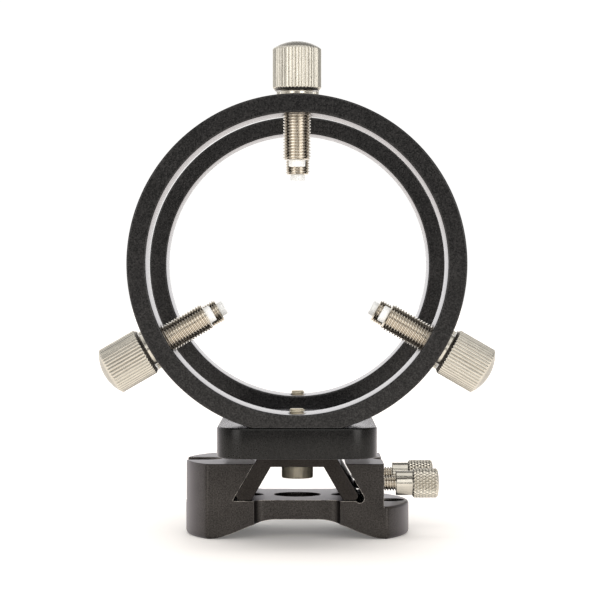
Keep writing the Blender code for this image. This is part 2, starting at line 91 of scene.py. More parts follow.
# Clamp thumbscrews, measured along +X from the middle plane
CLAMP_THREAD_RADIUS = 1.99 * MM
CLAMP_PITCH = 0.7 * MM
CLAMP_THREAD_DEPTH = 0.38 * MM
CLAMP_THREAD_END = 17.6 * MM
SHOULDER_START = 26.07 * MM
SHOULDER_RADIUS = 3.2 * MM
CLAMP_KNOB_START = 30.45 * MM
CLAMP_KNOB_RADIUS = 3.88 * MM
CLAMP_KNOB_RIM = 37.1 * MM
CLAMP_KNOB_CHAMFER = 0.45 * MM
CLAMP_KNOB_ROW = 0.07 * MM
CLAMP_DOME_RISE = 0.38 * MM
DIAMONDS = 24
DIAMOND_DEPTH = 0.36 * MM
DIAMOND_COLUMNS = 10 * DIAMONDS
PAD_RADIUS = 1.5 * MM
PAD_NOSE_CENTRE = 16.31 * MM

# Socket cap bolts: thread radius, pitch, head height and socket across flats
BOLTS = {
    "ring_bolt_front": (1.98 * MM, 0.7 * MM, 4.0 * MM, 3.0 * MM),
    "ring_bolt_rear": (1.98 * MM, 0.7 * MM, 4.0 * MM, 3.0 * MM),
    "shoe_bolt": (2.48 * MM, 0.8 * MM, 5.0 * MM, 4.0 * MM),
}
BOLT_EDGE = 0.5 * MM
BOLT_HEAD_INSET = 0.02 * MM
HOLE_GAP = 0.1 * MM

# Bar
BAR_CORNER = 7.2 * MM
BAR_EDGE = 0.5 * MM

# Clamp base, about its middle
CREASE_X = 23.8 * MM
SLOT_FLOOR_Z = 10.0 * MM
SLOT_SLOPE = math.tan(math.radians(30.0))
SLOT_LEFT_TOP_X = -11.4 * MM
SLOT_RIGHT_TOP_X = 12.6 * MM
# Round groove in the slot's right corner
RELIEF_RADIUS = 1.2 * MM
RELIEF_Z = 10.7 * MM
JAW_OUTER_X = 22.75 * MM
LUG_TOP_Z = 8.55 * MM
ARCH_CROWN_Z = 4.9 * MM
ARCH_CROWN_HALF = 5.5 * MM
ARCH_FOOT_X = 24.0 * MM
WAIST_HALF_WIDTH = 11.3 * MM
WAIST_FILLET = 2.85 * MM
WAIST_CENTRE_DEPTH = 3.1 * MM
POCKET_RADIUS = 4.5 * MM
LUG_HOLE_X = 24.8 * MM
# Holes in the base: radius, counterbore radius and counterbore floor
MIDDLE_HOLE = (6.3 * MM, 6.3 * MM, SLOT_FLOOR_Z / 2)
SLOT_HOLE = (2.15 * MM, 3.5 * MM, 6.5 * MM)
SLOT_HOLE_X = 12.8 * MM
LUG_HOLE = (2.25 * MM, 4.0 * MM, 4.2 * MM)
BASE_EDGE = 0.22 * MM
FOOT_EDGE = 0.9 * MM
LUG_EDGE = 0.7 * MM
CREASE_RADIUS = 1.2 * MM
# Chamfer at the mouths of holes in the base and the bar
LIP = 0.25 * MM

# Dovetail shoe
SHOE_TOP_HALF = 9.15 * MM
SHOE_INNER_TOP_HALF = 6.95 * MM
SHOE_WEB = 4.55 * MM
SHOE_TOE_RADIUS = 1.2 * MM
SHOE_SPOT_FACE = 0.65 * MM
SHOE_EDGE = 0.25 * MM

# Mesh rows in one thread pitch, and points around turned shapes
THREAD_ROWS = 14
THREAD_COLUMNS = 56
BORE_COLUMNS = 48
WELL_COLUMNS = 64
# Edge rounding of small turned parts, how far screw shanks run into their
# knobs, and how far cutters reach past what they cut
EDGE = 0.12 * MM
SHANK_OVERLAP = 0.2 * MM
OVERRUN = 2.0 * MM
# Faces narrower than this are edge rounding, and are shaded smooth
STRIP_WIDTH = 0.3 * MM
# Limits under which a point is on the axis, and points or planes are the same
ON_AXIS = 1e-7
SAME_POINT = 0.002 * MM
SAME_PLANE = math.radians(0.5)
NEARLY_STRAIGHT = math.radians(165.0)
Z_TO_MINUS_Y = Matrix.Rotation(math.radians(90.0), 4, "X")
Z_TO_X = Matrix.Rotation(math.radians(90.0), 4, "Y")


# ---------------------------------------------------------------- mesh tools
def soften(points, radius, closed=False, steps=3):
    """Round the corners of an outline or profile with small curves."""
    rounded = []
    count = len(points)
    for index, point in enumerate(points):
        corner = Vector(point)
        if not closed and index in (0, count - 1):
            rounded.append(tuple(corner))
            continue
        before = Vector(points[index - 1]) - corner
        after = Vector(points[(index + 1) % count]) - corner
        opening = before.angle(after)
        if opening > NEARLY_STRAIGHT:
            rounded.append(tuple(corner))
            continue
        longest = 0.45 * min(before.length, after.length)
        reach = min(radius / math.tan(opening / 2), longest)
        start = corner + before.normalized() * reach
        end = corner + after.normalized() * reach
        for step in range(steps + 1):
            share = step / steps
            leaving = start.lerp(corner, share)
            arriving = corner.lerp(end, share)
            rounded.append(tuple(leaving.lerp(arriving, share)))
    return rounded


def refine(profile, step):
    """Add points to a (radius, height) profile so that no rise is over step."""
    fine = [profile[0]]
    for (radius_a, height_a), (radius_b, height_b) in zip(profile, profile[1:]):
        count = max(1, math.ceil(abs(height_b - height_a) / step - 1e-6))
        for index in range(1, count + 1):
            share = index / count
            fine.append((
                radius_a + (radius_b - radius_a) * share,
                height_a + (height_b - height_a) * share,
            ))
    return fine


def dome(rim_radius, rim_height, rise, steps=10):
    """Return a profile over a spherical cap, from the rim to the axis."""
    sphere = (rim_radius ** 2 + rise ** 2) / (2 * rise)
    half_angle = math.asin(rim_radius / sphere)
    centre = rim_height + rise - sphere
    profile = []
    for step in range(steps + 1):
        angle = half_angle * (1 - step / steps)
        profile.append((sphere * math.sin(angle), centre + sphere * math.cos(angle)))
    return profile


def link(name, mesh):
    """Put a mesh in the scene as an object."""
    obj = bpy.data.objects.new(name, mesh)
    bpy.context.scene.collection.objects.link(obj)
    return obj


def turned(name, profile, columns, relief=None, depth=1.0, closed=False):
    """Turn a (radius, height) profile about Z.

    relief(angles, height) gives the radii that the cutter leaves at a height;
    the profile is the envelope that they can't pass. How deep the cut goes is
    kept in the mesh's cavity attribute, 0 on the crest and 1 at depth.
    """
    angles = np.linspace(0.0, math.tau, columns, endpoint=False)
    points = []
    cavity = []
    starts = []
    for radius, height in profile:
        starts.append(len(points))
        if radius < ON_AXIS:
            points.append((0.0, 0.0, height))
            cavity.append(0.0)
            continue
        radii = np.full(columns, radius)
        sunk = np.zeros(columns)
        if relief:
            left = relief(angles, height)
            sunk = np.clip((radii - left) / depth, 0.0, 1.0)
            radii = np.minimum(radii, left)
        across, along = radii * np.cos(angles), radii * np.sin(angles)
        points += list(zip(across, along, [height] * columns))
        cavity += list(sunk)
    faces = []
    rows = list(zip(range(len(profile)), range(1, len(profile))))
    if closed:
        rows.append((len(profile) - 1, 0))
    for low, high in rows:
        low_pole = profile[low][0] < ON_AXIS
        high_pole = profile[high][0] < ON_AXIS
        for column in range(columns):
            beside = (column + 1) % columns
            corner_a = starts[low] + (0 if low_pole else column)
            corner_b = starts[low] + (0 if low_pole else beside)
            corner_c = starts[high] + (0 if high_pole else beside)
            corner_d = starts[high] + (0 if high_pole else column)
            if low_pole:
                faces.append((corner_a, corner_c, corner_d))
            elif high_pole:
                faces.append((corner_a, corner_b, corner_c))
            else:
                faces.append((corner_a, corner_b, corner_c, corner_d))
    mesh = bpy.data.meshes.new(name)
    mesh.from_pydata(points, [], faces)
    layer = mesh.attributes.new("cavity", "FLOAT", "POINT")
    layer.data.foreach_set("value", np.array(cavity, np.float32))
    solid = bmesh.new()
    solid.from_mesh(mesh)
    bmesh.ops.recalc_face_normals(solid, faces=solid.faces)
    solid.to_mesh(mesh)
    solid.free()
    return link(name, mesh)


def arc(centre_a, centre_b, radius, start, end, steps=16):
    """Return points of an arc, from one angle to another in degrees."""
    angles = np.radians(np.linspace(start, end, steps + 1))
    return [
        (centre_a + radius * math.cos(angle), centre_b + radius * math.sin(angle))
        for angle in angles
    ]


def rounded_rectangle(half_a, half_b, radius):
    """Return a rectangle about the origin with round corners."""
    outline = []
    for side_a, side_b, start in ((1, 1, 0), (-1, 1, 90), (-1, -1, 180), (1, -1, 270)):
        corner_a = side_a * (half_a - radius)
        outline += arc(corner_a, side_b * (half_b - radius), radius, start, start + 90)
    return outline


def stack(name, layers):
    """Build a closed solid from outlines of one point count at rising heights."""
    solid = bmesh.new()
    rows = []
    for outline, height in layers:
        rows.append([solid.verts.new((a, b, height)) for a, b in outline])
    solid.faces.new(rows[0])
    solid.faces.new(rows[-1])
    for below, above in zip(rows, rows[1:]):
        for index in range(len(below)):
            before = index - 1
            solid.faces.new((below[before], below[index], above[index], above[before]))
    bmesh.ops.recalc_face_normals(solid, faces=solid.faces)
    mesh = bpy.data.meshes.new(name)
    solid.to_mesh(mesh)
    solid.free()
    return link(name, mesh)


def rounded_prism(name, plan, low_z, high_z, bottom, top):
    """Make an upright solid with rounded bottom and top edges.

    plan(inset) returns its outline, drawn in by inset.
    """
    quarter = np.radians(np.linspace(0.0, 90.0, 6))
    layers = []
    for angle in quarter:
        rise = bottom * (1 - math.cos(angle))
        layers.append((plan(bottom * (1 - math.sin(angle))), low_z + rise))
    for angle in reversed(quarter):
        drop = top * (1 - math.cos(angle))
        layers.append((plan(top * (1 - math.sin(angle))), high_z - drop))
    return stack(name, layers)


def lengthwise(name, outline, length):
    """Extrude an outline in X and Z along Y, centred on the origin."""
    obj = stack(name, [(outline, -length / 2), (outline, length / 2)])
    obj.data.transform(Z_TO_MINUS_Y)
    return obj


def round_edges(obj, radius, limit=50.0, segments=4):
    """Round each outer edge whose faces turn by more than limit degrees."""
    solid = bmesh.new()
    solid.from_mesh(obj.data)
    bmesh.ops.remove_doubles(solid, verts=solid.verts, dist=SAME_POINT)
    bmesh.ops.dissolve_limit(
        solid, angle_limit=SAME_PLANE, verts=solid.verts, edges=solid.edges
    )
    sharp = []
    for edge in solid.edges:
        if len(edge.link_faces) == 2 and edge.calc_face_angle_signed() > math.radians(limit):
            sharp.append(edge)
    bmesh.ops.bevel(
        solid, geom=sharp, affect="EDGES", offset=radius, offset_type="OFFSET",
        segments=segments, profile=0.5, clamp_overlap=False, miter_outer="ARC"
    )
    solid.to_mesh(obj.data)
    solid.free()


def even_normals(obj):
    """Shade curved faces and narrow edge strips smooth, and keep flat faces flat."""
    shade(obj, 35.0)
    least, most = 0.5, 8.0
    solid = bmesh.new()
    solid.from_mesh(obj.data)
    for face in solid.faces:
        width = 2 * face.calc_area() / face.calc_perimeter()
        turns = [math.degrees(edge.calc_face_angle(0.0)) for edge in face.edges]
        curved = any(least < turn < most for turn in turns)
        face.smooth = curved or width < STRIP_WIDTH
    solid.to_mesh(obj.data)
    solid.free()


def shade(obj, angle=32.0):
    """Shade smooth, with edges sharper than angle kept."""
    obj.data.shade_smooth()
    obj.data.set_sharp_from_angle(angle=math.radians(angle))


def combine(obj, operation, *others):
    """Add other objects to a mesh object or take them out of it, and remove them."""
    for other in others:
        boolean = obj.modifiers.new("combine", "BOOLEAN")
        boolean.operation = operation
        boolean.solver = "EXACT"
        boolean.object = other
    view = bpy.context.evaluated_depsgraph_get()
    mesh = bpy.data.meshes.new_from_object(obj.evaluated_get(view))
    obj.modifiers.clear()
    obj.data = mesh
    for other in others:
        bpy.data.objects.remove(other, do_unlink=True)


def cut(obj, *cutters):
    """Take other objects out of a mesh object."""
    combine(obj, "DIFFERENCE", *cutters)


def merge(obj, *others):
    """Add other objects to a mesh object."""
    combine(obj, "UNION", *others)


def join(target, *others):
    """Join other mesh objects into target."""
    solid = bmesh.new()
    solid.from_mesh(target.data)
    for other in others:
        other.data.transform(target.matrix_world.inverted() @ other.matrix_world)
        solid.from_mesh(other.data)
        bpy.data.objects.remove(other, do_unlink=True)
    solid.to_mesh(target.data)
    solid.free()


# ------------------------------------------------------------ surface reliefs
def thread_relief(radius, pitch, depth):
    """Return the radius of a right-hand thread at an angle and height."""
    # Widths of the flat crest and the flank, as shares of half the pitch
    crest = 0.34
    flank = 0.34

    def surface(angles, height):
        phase = np.mod(height / pitch - angles / math.tau, 1.0)
        from_crest = np.abs(phase - 0.5) * 2
        return radius - depth * np.clip((from_crest - crest) / flank, 0.0, 1.0)

    return surface


def straight_knurl(radius, teeth, depth):
    """Return the radius of a straight knurl: round ribs, narrow grooves."""
    groove_depths = depth * np.random.default_rng(4).uniform(0.75, 1.0, teeth)
    roundness = 2.2

    def surface(angles, _height):
        tooth = angles / math.tau * teeth
        from_rib = np.abs(np.mod(tooth, 1.0) - 0.5) * 2
        groove = np.mod(np.round(tooth), teeth).astype(int)
        return radius - groove_depths[groove] * np.power(from_rib, roundness)

    return surface


def diamond_knurl(radius, count, depth):
    """Return the radius of a diamond knurl: two crossed sets of grooves."""
    lean = math.tan(math.radians(32.0)) / (math.tau * radius)
    steepness = 1.5

    def surface(angles, height):
        turn = angles / math.tau
        rises = []
        for hand in (-1, 1):
            phase = np.mod(count * (turn + hand * lean * height), 1.0)
            rises.append(1 - np.abs(2 * phase - 1))
        peak = np.clip(np.minimum(*rises) * steepness, 0.0, 1.0)
        return radius - depth * (1 - peak)

    return surface


# ----------------------------------------------------------------- materials
class Nodes:
    """A Principled material and short calls to add nodes to it."""

    def __init__(self, name):
        self.material = bpy.data.materials.new(name)
        self.material.use_nodes = True
        self.tree = self.material.node_tree
        self.shader = self.tree.nodes["Principled BSDF"]
        coordinates = self.tree.nodes.new("ShaderNodeTexCoord")
        self.place = coordinates.outputs["Object"]
        self.facing = coordinates.outputs["Normal"]

    def add(self, kind, **settings):
        """Add a node and set its properties."""
        node = self.tree.nodes.new(kind)
        for key, value in settings.items():
            setattr(node, key, value)
        return node

    def connect(self, source, target):
        """Link an output socket to an input socket."""
        self.tree.links.new(source, target)

    def noise(self, size, detail=2.0, roughness=0.5, stretch=1.0):
        """Return noise with features about size metres across, stretch times as long in Z."""
        node = self.add("ShaderNodeTexNoise")
        node.inputs["Scale"].default_value = 1.0 / size
        node.inputs["Detail"].default_value = detail
        node.inputs["Roughness"].default_value = roughness
        along = self.add("ShaderNodeVectorMath", operation="MULTIPLY")
        along.inputs[1].default_value = (1.0, 1.0, 1.0 / stretch)
        self.connect(self.place, along.inputs[0])
        self.connect(along.outputs["Vector"], node.inputs["Vector"])
        return node.outputs["Fac"]

    def ramp(self, source, first, second):
        """Map a value to a colour that runs between two (position, colour) stops."""
        node = self.add("ShaderNodeValToRGB")
        for element, (position, colour) in zip(node.color_ramp.elements, (first, second)):
            element.position = position
            element.color = (*colour, 1.0)
        self.connect(source, node.inputs["Fac"])
        return node.outputs["Color"]

    def spread(self, source, low, high, start=0.0, end=1.0):
        """Map a value from start..end to low..high."""
        node = self.add("ShaderNodeMapRange")
        node.inputs["From Min"].default_value = start
        node.inputs["From Max"].default_value = end
        node.inputs["To Min"].default_value = low
        node.inputs["To Max"].default_value = high
        self.connect(source, node.inputs["Value"])
        return node.outputs["Result"]

    def plus(self, value, amount, base):
        """Return value times amount, plus base."""
        node = self.add("ShaderNodeMath", operation="MULTIPLY_ADD")
        node.inputs[1].default_value = amount
        self.connect(value, node.inputs[0])
        self.connect(base, node.inputs[2])
        return node.outputs[0]

    def mix(self, factor, first, second, blend="MIX"):
        """Mix two colours, each a socket or a plain colour."""
        node = self.add("ShaderNodeMix", data_type="RGBA", blend_type=blend)
        sockets = (node.inputs[0], node.inputs[6], node.inputs[7])
        for socket, value in zip(sockets, (factor, first, second)):
            if isinstance(value, bpy.types.NodeSocket):
                self.connect(value, socket)
            elif isinstance(value, (int, float)):
                socket.default_value = value
            else:
                socket.default_value = (*value, 1.0)
        return node.outputs[2]

    def bump(self, height, distance, strength=1.0, normal=None):
        """Return a bumped normal; distance is the full relief in metres."""
        node = self.add("ShaderNodeBump")
        node.inputs["Strength"].default_value = strength
        node.inputs["Distance"].default_value = distance
        self.connect(height, node.inputs["Height"])
        if normal:
            self.connect(normal, node.inputs["Normal"])
        return node.outputs["Normal"]

    def rounded(self, width):
        """Return the normal that edges rounded over width metres would have."""
        node = self.add("ShaderNodeBevel", samples=6)
        node.inputs["Radius"].default_value = width
        return node.outputs["Normal"]

    def edges(self, width):
        """Return 1 along sharp edges, falling to 0 about width metres away."""
        surface = self.add("ShaderNodeNewGeometry")
        match = self.add("ShaderNodeVectorMath", operation="DOT_PRODUCT")
        self.connect(self.rounded(width), match.inputs[0])
        self.connect(surface.outputs["Normal"], match.inputs[1])
        return self.spread(match.outputs["Value"], 1.0, 0.0, 0.80, 0.99)

    def cavity(self):
        """Return the mesh's cavity attribute, 1 deep in a cut and 0 elsewhere."""
        return self.add("ShaderNodeAttribute", attribute_name="cavity").outputs["Fac"]

    def give(self, name, value):
        """Set or connect one input of the shader."""
        socket = self.shader.inputs[name]
        if isinstance(value, bpy.types.NodeSocket):
            self.connect(value, socket)
        else:
            socket.default_value = value


def anodised(name, dark, light, roughness, worn, coat):
    """Black anodised aluminium: a fine blasted grain, worn lighter along its edges, and painted
    near black in cut cavities as shade.
    """
    nodes = Nodes(name)
    grain = nodes.noise(0.34 * MM, 2.0, 0.6)
    speckle = nodes.ramp(grain, (0.34, dark), (0.66, light))
    cloud = nodes.noise(7.0 * MM, 2.0)
    tone = nodes.ramp(cloud, (0.3, (0.80, 0.80, 0.80)), (0.7, (1.0, 1.0, 1.0)))
    black = nodes.mix(1.0, speckle, tone, "MULTIPLY")
    patches = nodes.spread(nodes.noise(1.8 * MM, 3.0), 0.2, 1.0, 0.35, 0.55)
    rubbed = nodes.mix(nodes.edges(0.24 * MM), (0.0, 0.0, 0.0), patches)
    cavity = nodes.cavity()
    shown = nodes.mix(rubbed, black, worn)
    # Where the mesh marks a cavity, the colour is painted near black: painted shade in the
    # groove.
    nodes.give("Base Color", nodes.mix(cavity, shown, (0.008, 0.007, 0.007)))
    rough = nodes.spread(grain, roughness - 0.05, roughness + 0.05, 0.3, 0.7)
    nodes.give("Roughness", nodes.plus(cavity, 0.5, rough))
    nodes.give("Normal", nodes.bump(grain, 0.012 * MM, 0.5))
    nodes.give("Metallic", 1.0)
    nodes.give("Specular Tint", (0.98, 0.96, 1.0, 1.0))
    nodes.give("Coat Weight", coat)
    nodes.give("Coat Roughness", 0.22)
    return nodes.material


def nickel(name, colour, grime_and_shade, roughness, metallic=1.0, marks=0.0, rounding=0.0):
    """Warm nickel plate with turning marks on end faces; cut grooves are darkened as grime and
    as painted shade.
    """
    nodes = Nodes(name)
    cavity = nodes.cavity()
    cloud = nodes.noise(2.2 * MM, 3.0)
    streaks = nodes.noise(0.4 * MM, 2.0, stretch=16.0)
    dull = tuple(0.84 * value for value in colour)
    plate = nodes.ramp(nodes.mix(0.65, cloud, streaks), (0.38, dull), (0.62, colour))
    # Thread and knurl grooves are darkened: partly grime, partly painted shade where the
    # grooves shade themselves.
    depth = nodes.spread(cavity, 0.0, 0.45, 0.3, 1.0)
    plate = nodes.mix(depth, plate, grime_and_shade)
    rough = nodes.spread(streaks, roughness - 0.03, roughness + 0.04, 0.3, 0.7)
    smooth = nodes.rounded(rounding) if rounding else None
    normal = nodes.bump(streaks, 0.003 * MM, 0.3, smooth)
    if marks:
        split = nodes.add("ShaderNodeSeparateXYZ")
        nodes.connect(nodes.facing, split.inputs[0])
        end_face = nodes.spread(split.outputs["Z"], 0.0, 1.0, 0.75, 0.9)
        plate = nodes.mix(end_face, plate, tuple(0.6 * value for value in colour))
        wave = nodes.add("ShaderNodeTexWave", wave_type="RINGS", rings_direction="Z")
        wave.inputs["Scale"].default_value = 1.0 / marks
        wave.inputs["Distortion"].default_value = 0.4
        nodes.connect(nodes.place, wave.inputs["Vector"])
        turned_marks = nodes.mix(end_face, (0.5, 0.5, 0.5), wave.outputs["Color"])
        normal = nodes.bump(turned_marks, 0.006 * MM, 0.5, normal)
        rough = nodes.plus(end_face, 0.1, rough)
    nodes.give("Base Color", plate)
    nodes.give("Roughness", rough)
    nodes.give("Normal", normal)
    nodes.give("Metallic", metallic)
    return nodes.material


def nylon(name):
    """Milky nylon with a faint cloudiness and a faint painted glow that brightens it."""
    nodes = Nodes(name)
    cloud = nodes.noise(1.5 * MM, 2.0)
    milky = nodes.ramp(cloud, (0.3, (0.84, 0.84, 0.82)), (0.7, (0.90, 0.90, 0.88)))
    nodes.give("Base Color", milky)
    nodes.give("Roughness", 0.42)
    # A faint glow: painted light that makes the tips read whiter.
    nodes.give("Emission Color", (1.0, 1.0, 0.98, 1.0))
    nodes.give("Emission Strength", 0.2)
    return nodes.material


def acetal(name):
    """Black moulded plastic."""
    nodes = Nodes(name)
    grain = nodes.noise(0.15 * MM, 2.0)
    black = nodes.ramp(grain, (0.3, (0.012, 0.012, 0.012)), (0.7, (0.024, 0.023, 0.022)))
    nodes.give("Base Color", black)
    nodes.give("Roughness", 0.38)
    nodes.give("Normal", nodes.bump(grain, 0.006 * MM, 0.4))
    return nodes.material


MATERIALS = {
    "ring_anodised": anodised(
        "ring_anodised", dark=(0.011, 0.011, 0.011), light=(0.050, 0.048, 0.047),
        roughness=0.30, worn=(0.10, 0.10, 0.10), coat=0.40,
    ),
    "bar_anodised": anodised(
        "bar_anodised", dark=(0.012, 0.012, 0.011), light=(0.026, 0.025, 0.024),
        roughness=0.27, worn=(0.55, 0.53, 0.50), coat=0.35,
    ),
    # Lighter and warmer than the rings: partly the base's own tone, partly painted light
    # standing in for bounce from the floor below.
    "base_anodised": anodised(
        "base_anodised", dark=(0.042, 0.038, 0.036), light=(0.086, 0.079, 0.073),
        roughness=0.34, worn=(0.75, 0.70, 0.64), coat=0.0,
    ),
    "shoe_anodised": anodised(
        "shoe_anodised", dark=(0.026, 0.023, 0.021), light=(0.052, 0.046, 0.042),
        roughness=0.34, worn=(0.70, 0.64, 0.58), coat=0.0,
    ),
    "screw_nickel": nickel(
        "screw_nickel", colour=(0.74, 0.70, 0.61), grime_and_shade=(0.25, 0.21, 0.15),
        roughness=0.19, marks=0.18 * MM, rounding=0.22 * MM,
    ),
    "thread_nickel": nickel(
        "thread_nickel", colour=(0.76, 0.70, 0.60), grime_and_shade=(0.34, 0.28, 0.20), roughness=0.18,
    ),
    "bolt_steel": nickel(
        "bolt_steel", colour=(0.86, 0.78, 0.62), grime_and_shade=(0.30, 0.25, 0.18),
        roughness=0.50, metallic=0.45,
    ),
    "nylon": nylon("nylon"),
    "pad_plastic": acetal("pad_plastic"),
}


def dress(obj, slot, body, *nodes, finish=None):
    """Give a piece its finish, its body and the CAD nodes that it stands for.

    The material is named after the slot, unless finish names another.
    """
    obj.data.materials.clear()
    obj.data.materials.append(MATERIALS[finish or slot])
    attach(obj, body)
    if nodes:
        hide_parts(*nodes)


def upright_to_axis(joint):
    """Return the matrix that turns +Z to a joint's axis."""
    return Vector(joint["axis"]).to_track_quat("Z", "Y").to_matrix().to_4x4()


# --------------------------------------------------------------------- rings
def make_ring(place):
    """Make a ring with rounded edges, a flat seat and countersunk holes."""
    low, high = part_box(f"ring_{place}")
    outer = (high.x - low.x) / 2
    centre = Vector(((low.x + high.x) / 2, (low.y + high.y) / 2, high.z - outer))
    half = (high.y - low.y) / 2
    inner = outer - RING_WALL
    corners = [(inner, -half), (outer, -half), (outer, half), (inner, half)]
    profile = soften(corners, RING_EDGE, closed=True, steps=4)
    ring = turned(f"{place}_ring_fine", profile, RING_COLUMNS, closed=True)
    ring.data.transform(Z_TO_MINUS_Y)
    seat_z = low.z - centre.z
    bpy.ops.mesh.primitive_cube_add(size=1.0)
    seat = bpy.context.object
    seat.data.transform(Matrix.Diagonal((2 * outer, 4 * half, outer, 1.0)))
    seat.location.z = seat_z - outer / 2
    cutters = [seat]
    sink = COUNTERSINK
    hole = THREAD_RADIUS + THREAD_GAP
    for side in SIDES:
        bore = turned("bore", [
            (0.0, inner - OVERRUN),
            (hole + sink + OVERRUN, inner - OVERRUN),
            (hole, inner + sink),
            (hole, outer - 2 * sink),
            (hole + 2 * sink + OVERRUN, outer + OVERRUN),
            (0.0, outer + OVERRUN),
        ], BORE_COLUMNS)
        bore.matrix_world = upright_to_axis(JOINTS[f"screw_{place}_{side}_turn"])
        cutters.append(bore)
    bolt_hole = BOLTS[f"ring_bolt_{place}"][0] + HOLE_GAP
    cutters.append(turned("bore", [
        (0.0, -outer - OVERRUN),
        (bolt_hole, -outer - OVERRUN),
        (bolt_hole, -inner - sink),
        (bolt_hole + sink + OVERRUN, -inner + OVERRUN),
        (0.0, -inner + OVERRUN),
    ], BORE_COLUMNS))
    cut(ring, *cutters)
    ring.location = centre
    even_normals(ring)
    dress(ring, "ring_anodised", "carrier", f"ring_{place}")


# --------------------------------------------------------------- thumbscrews
def make_thumbscrew_meshes():
    """Return the shared meshes of the ring thumbscrews: knob, shank and tip."""
    low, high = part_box("ring_front")
    collar = (high.x - low.x) / 2 + COLLAR_GAP
    rim = KNOB_RADIUS - KNOB_RIM_CHAMFER
    profile = [
        (0.0, collar),
        (COLLAR_RADIUS, collar),
        (COLLAR_RADIUS, KNOB_START),
        (KNOB_RADIUS - KNOB_CHAMFER, KNOB_START),
        (KNOB_RADIUS, KNOB_START + KNOB_CHAMFER_RISE),
        (KNOB_RADIUS, KNOB_RIM - KNOB_RIM_CHAMFER),
        (rim, KNOB_RIM),
    ]
    profile = soften(profile, EDGE) + dome(rim, KNOB_RIM, DOME_RISE)[1:]
    relief = straight_knurl(KNOB_RADIUS, KNURL_TEETH, KNURL_DEPTH)
    fine = refine(profile, KNOB_ROW)
    knob = turned("ring_screw_knob", fine, KNURL_COLUMNS, relief, KNURL_DEPTH)
    shade(knob, 50.0)

    root = THREAD_RADIUS - THREAD_DEPTH
    profile = [
        (0.0, THREAD_END),
        (root, THREAD_END),
        (THREAD_RADIUS, THREAD_END + THREAD_DEPTH),
        (THREAD_RADIUS, collar + SHANK_OVERLAP),
        (0.0, collar + SHANK_OVERLAP),
    ]
    relief = thread_relief(THREAD_RADIUS, THREAD_PITCH, THREAD_DEPTH)
    fine = refine(profile, THREAD_PITCH / THREAD_ROWS)
    shank = turned("ring_screw_shank", fine, THREAD_COLUMNS, relief, THREAD_DEPTH)
    shade(shank, 50.0)

    profile = [
        (0.0, TIP_END),
        (TIP_RADIUS, TIP_END),
        (TIP_RADIUS, THREAD_END),
        (0.0, THREAD_END),
    ]
    tip = turned("ring_screw_tip", soften(profile, TIP_EDGE), 48)
    shade(tip)
    return knob, shank, tip


def placed_copy(source, name, matrix):
    """Return a copy of an object that shares its mesh, put in place."""
    obj = link(name, source.data)
    obj.matrix_world = matrix
    return obj


def make_ring_screws():
    """Place the six ring thumbscrews and their tips."""
    knob, shank, tip = make_thumbscrew_meshes()
    for place in PLACES:
        for side in SIDES:
            key = f"{place}_{side}"
            joint = JOINTS[f"screw_{key}_turn"]
            matrix = Matrix.Translation(joint["pos_m"]) @ upright_to_axis(joint)
            head = placed_copy(knob, f"{key}_screw_knob", matrix)
            dress(head, "screw_nickel", f"screw_{key}", f"thumbscrew_{key}")
            stem = placed_copy(shank, f"{key}_screw_thread", matrix)
            dress(stem, "screw_nickel", f"screw_{key}", finish="thread_nickel")
            end = placed_copy(tip, f"{key}_tip_fine", matrix)
            dress(end, "nylon", f"tip_{key}", f"nylon_tip_{key}")
    for source in (knob, shank, tip):
        bpy.data.objects.remove(source, do_unlink=True)


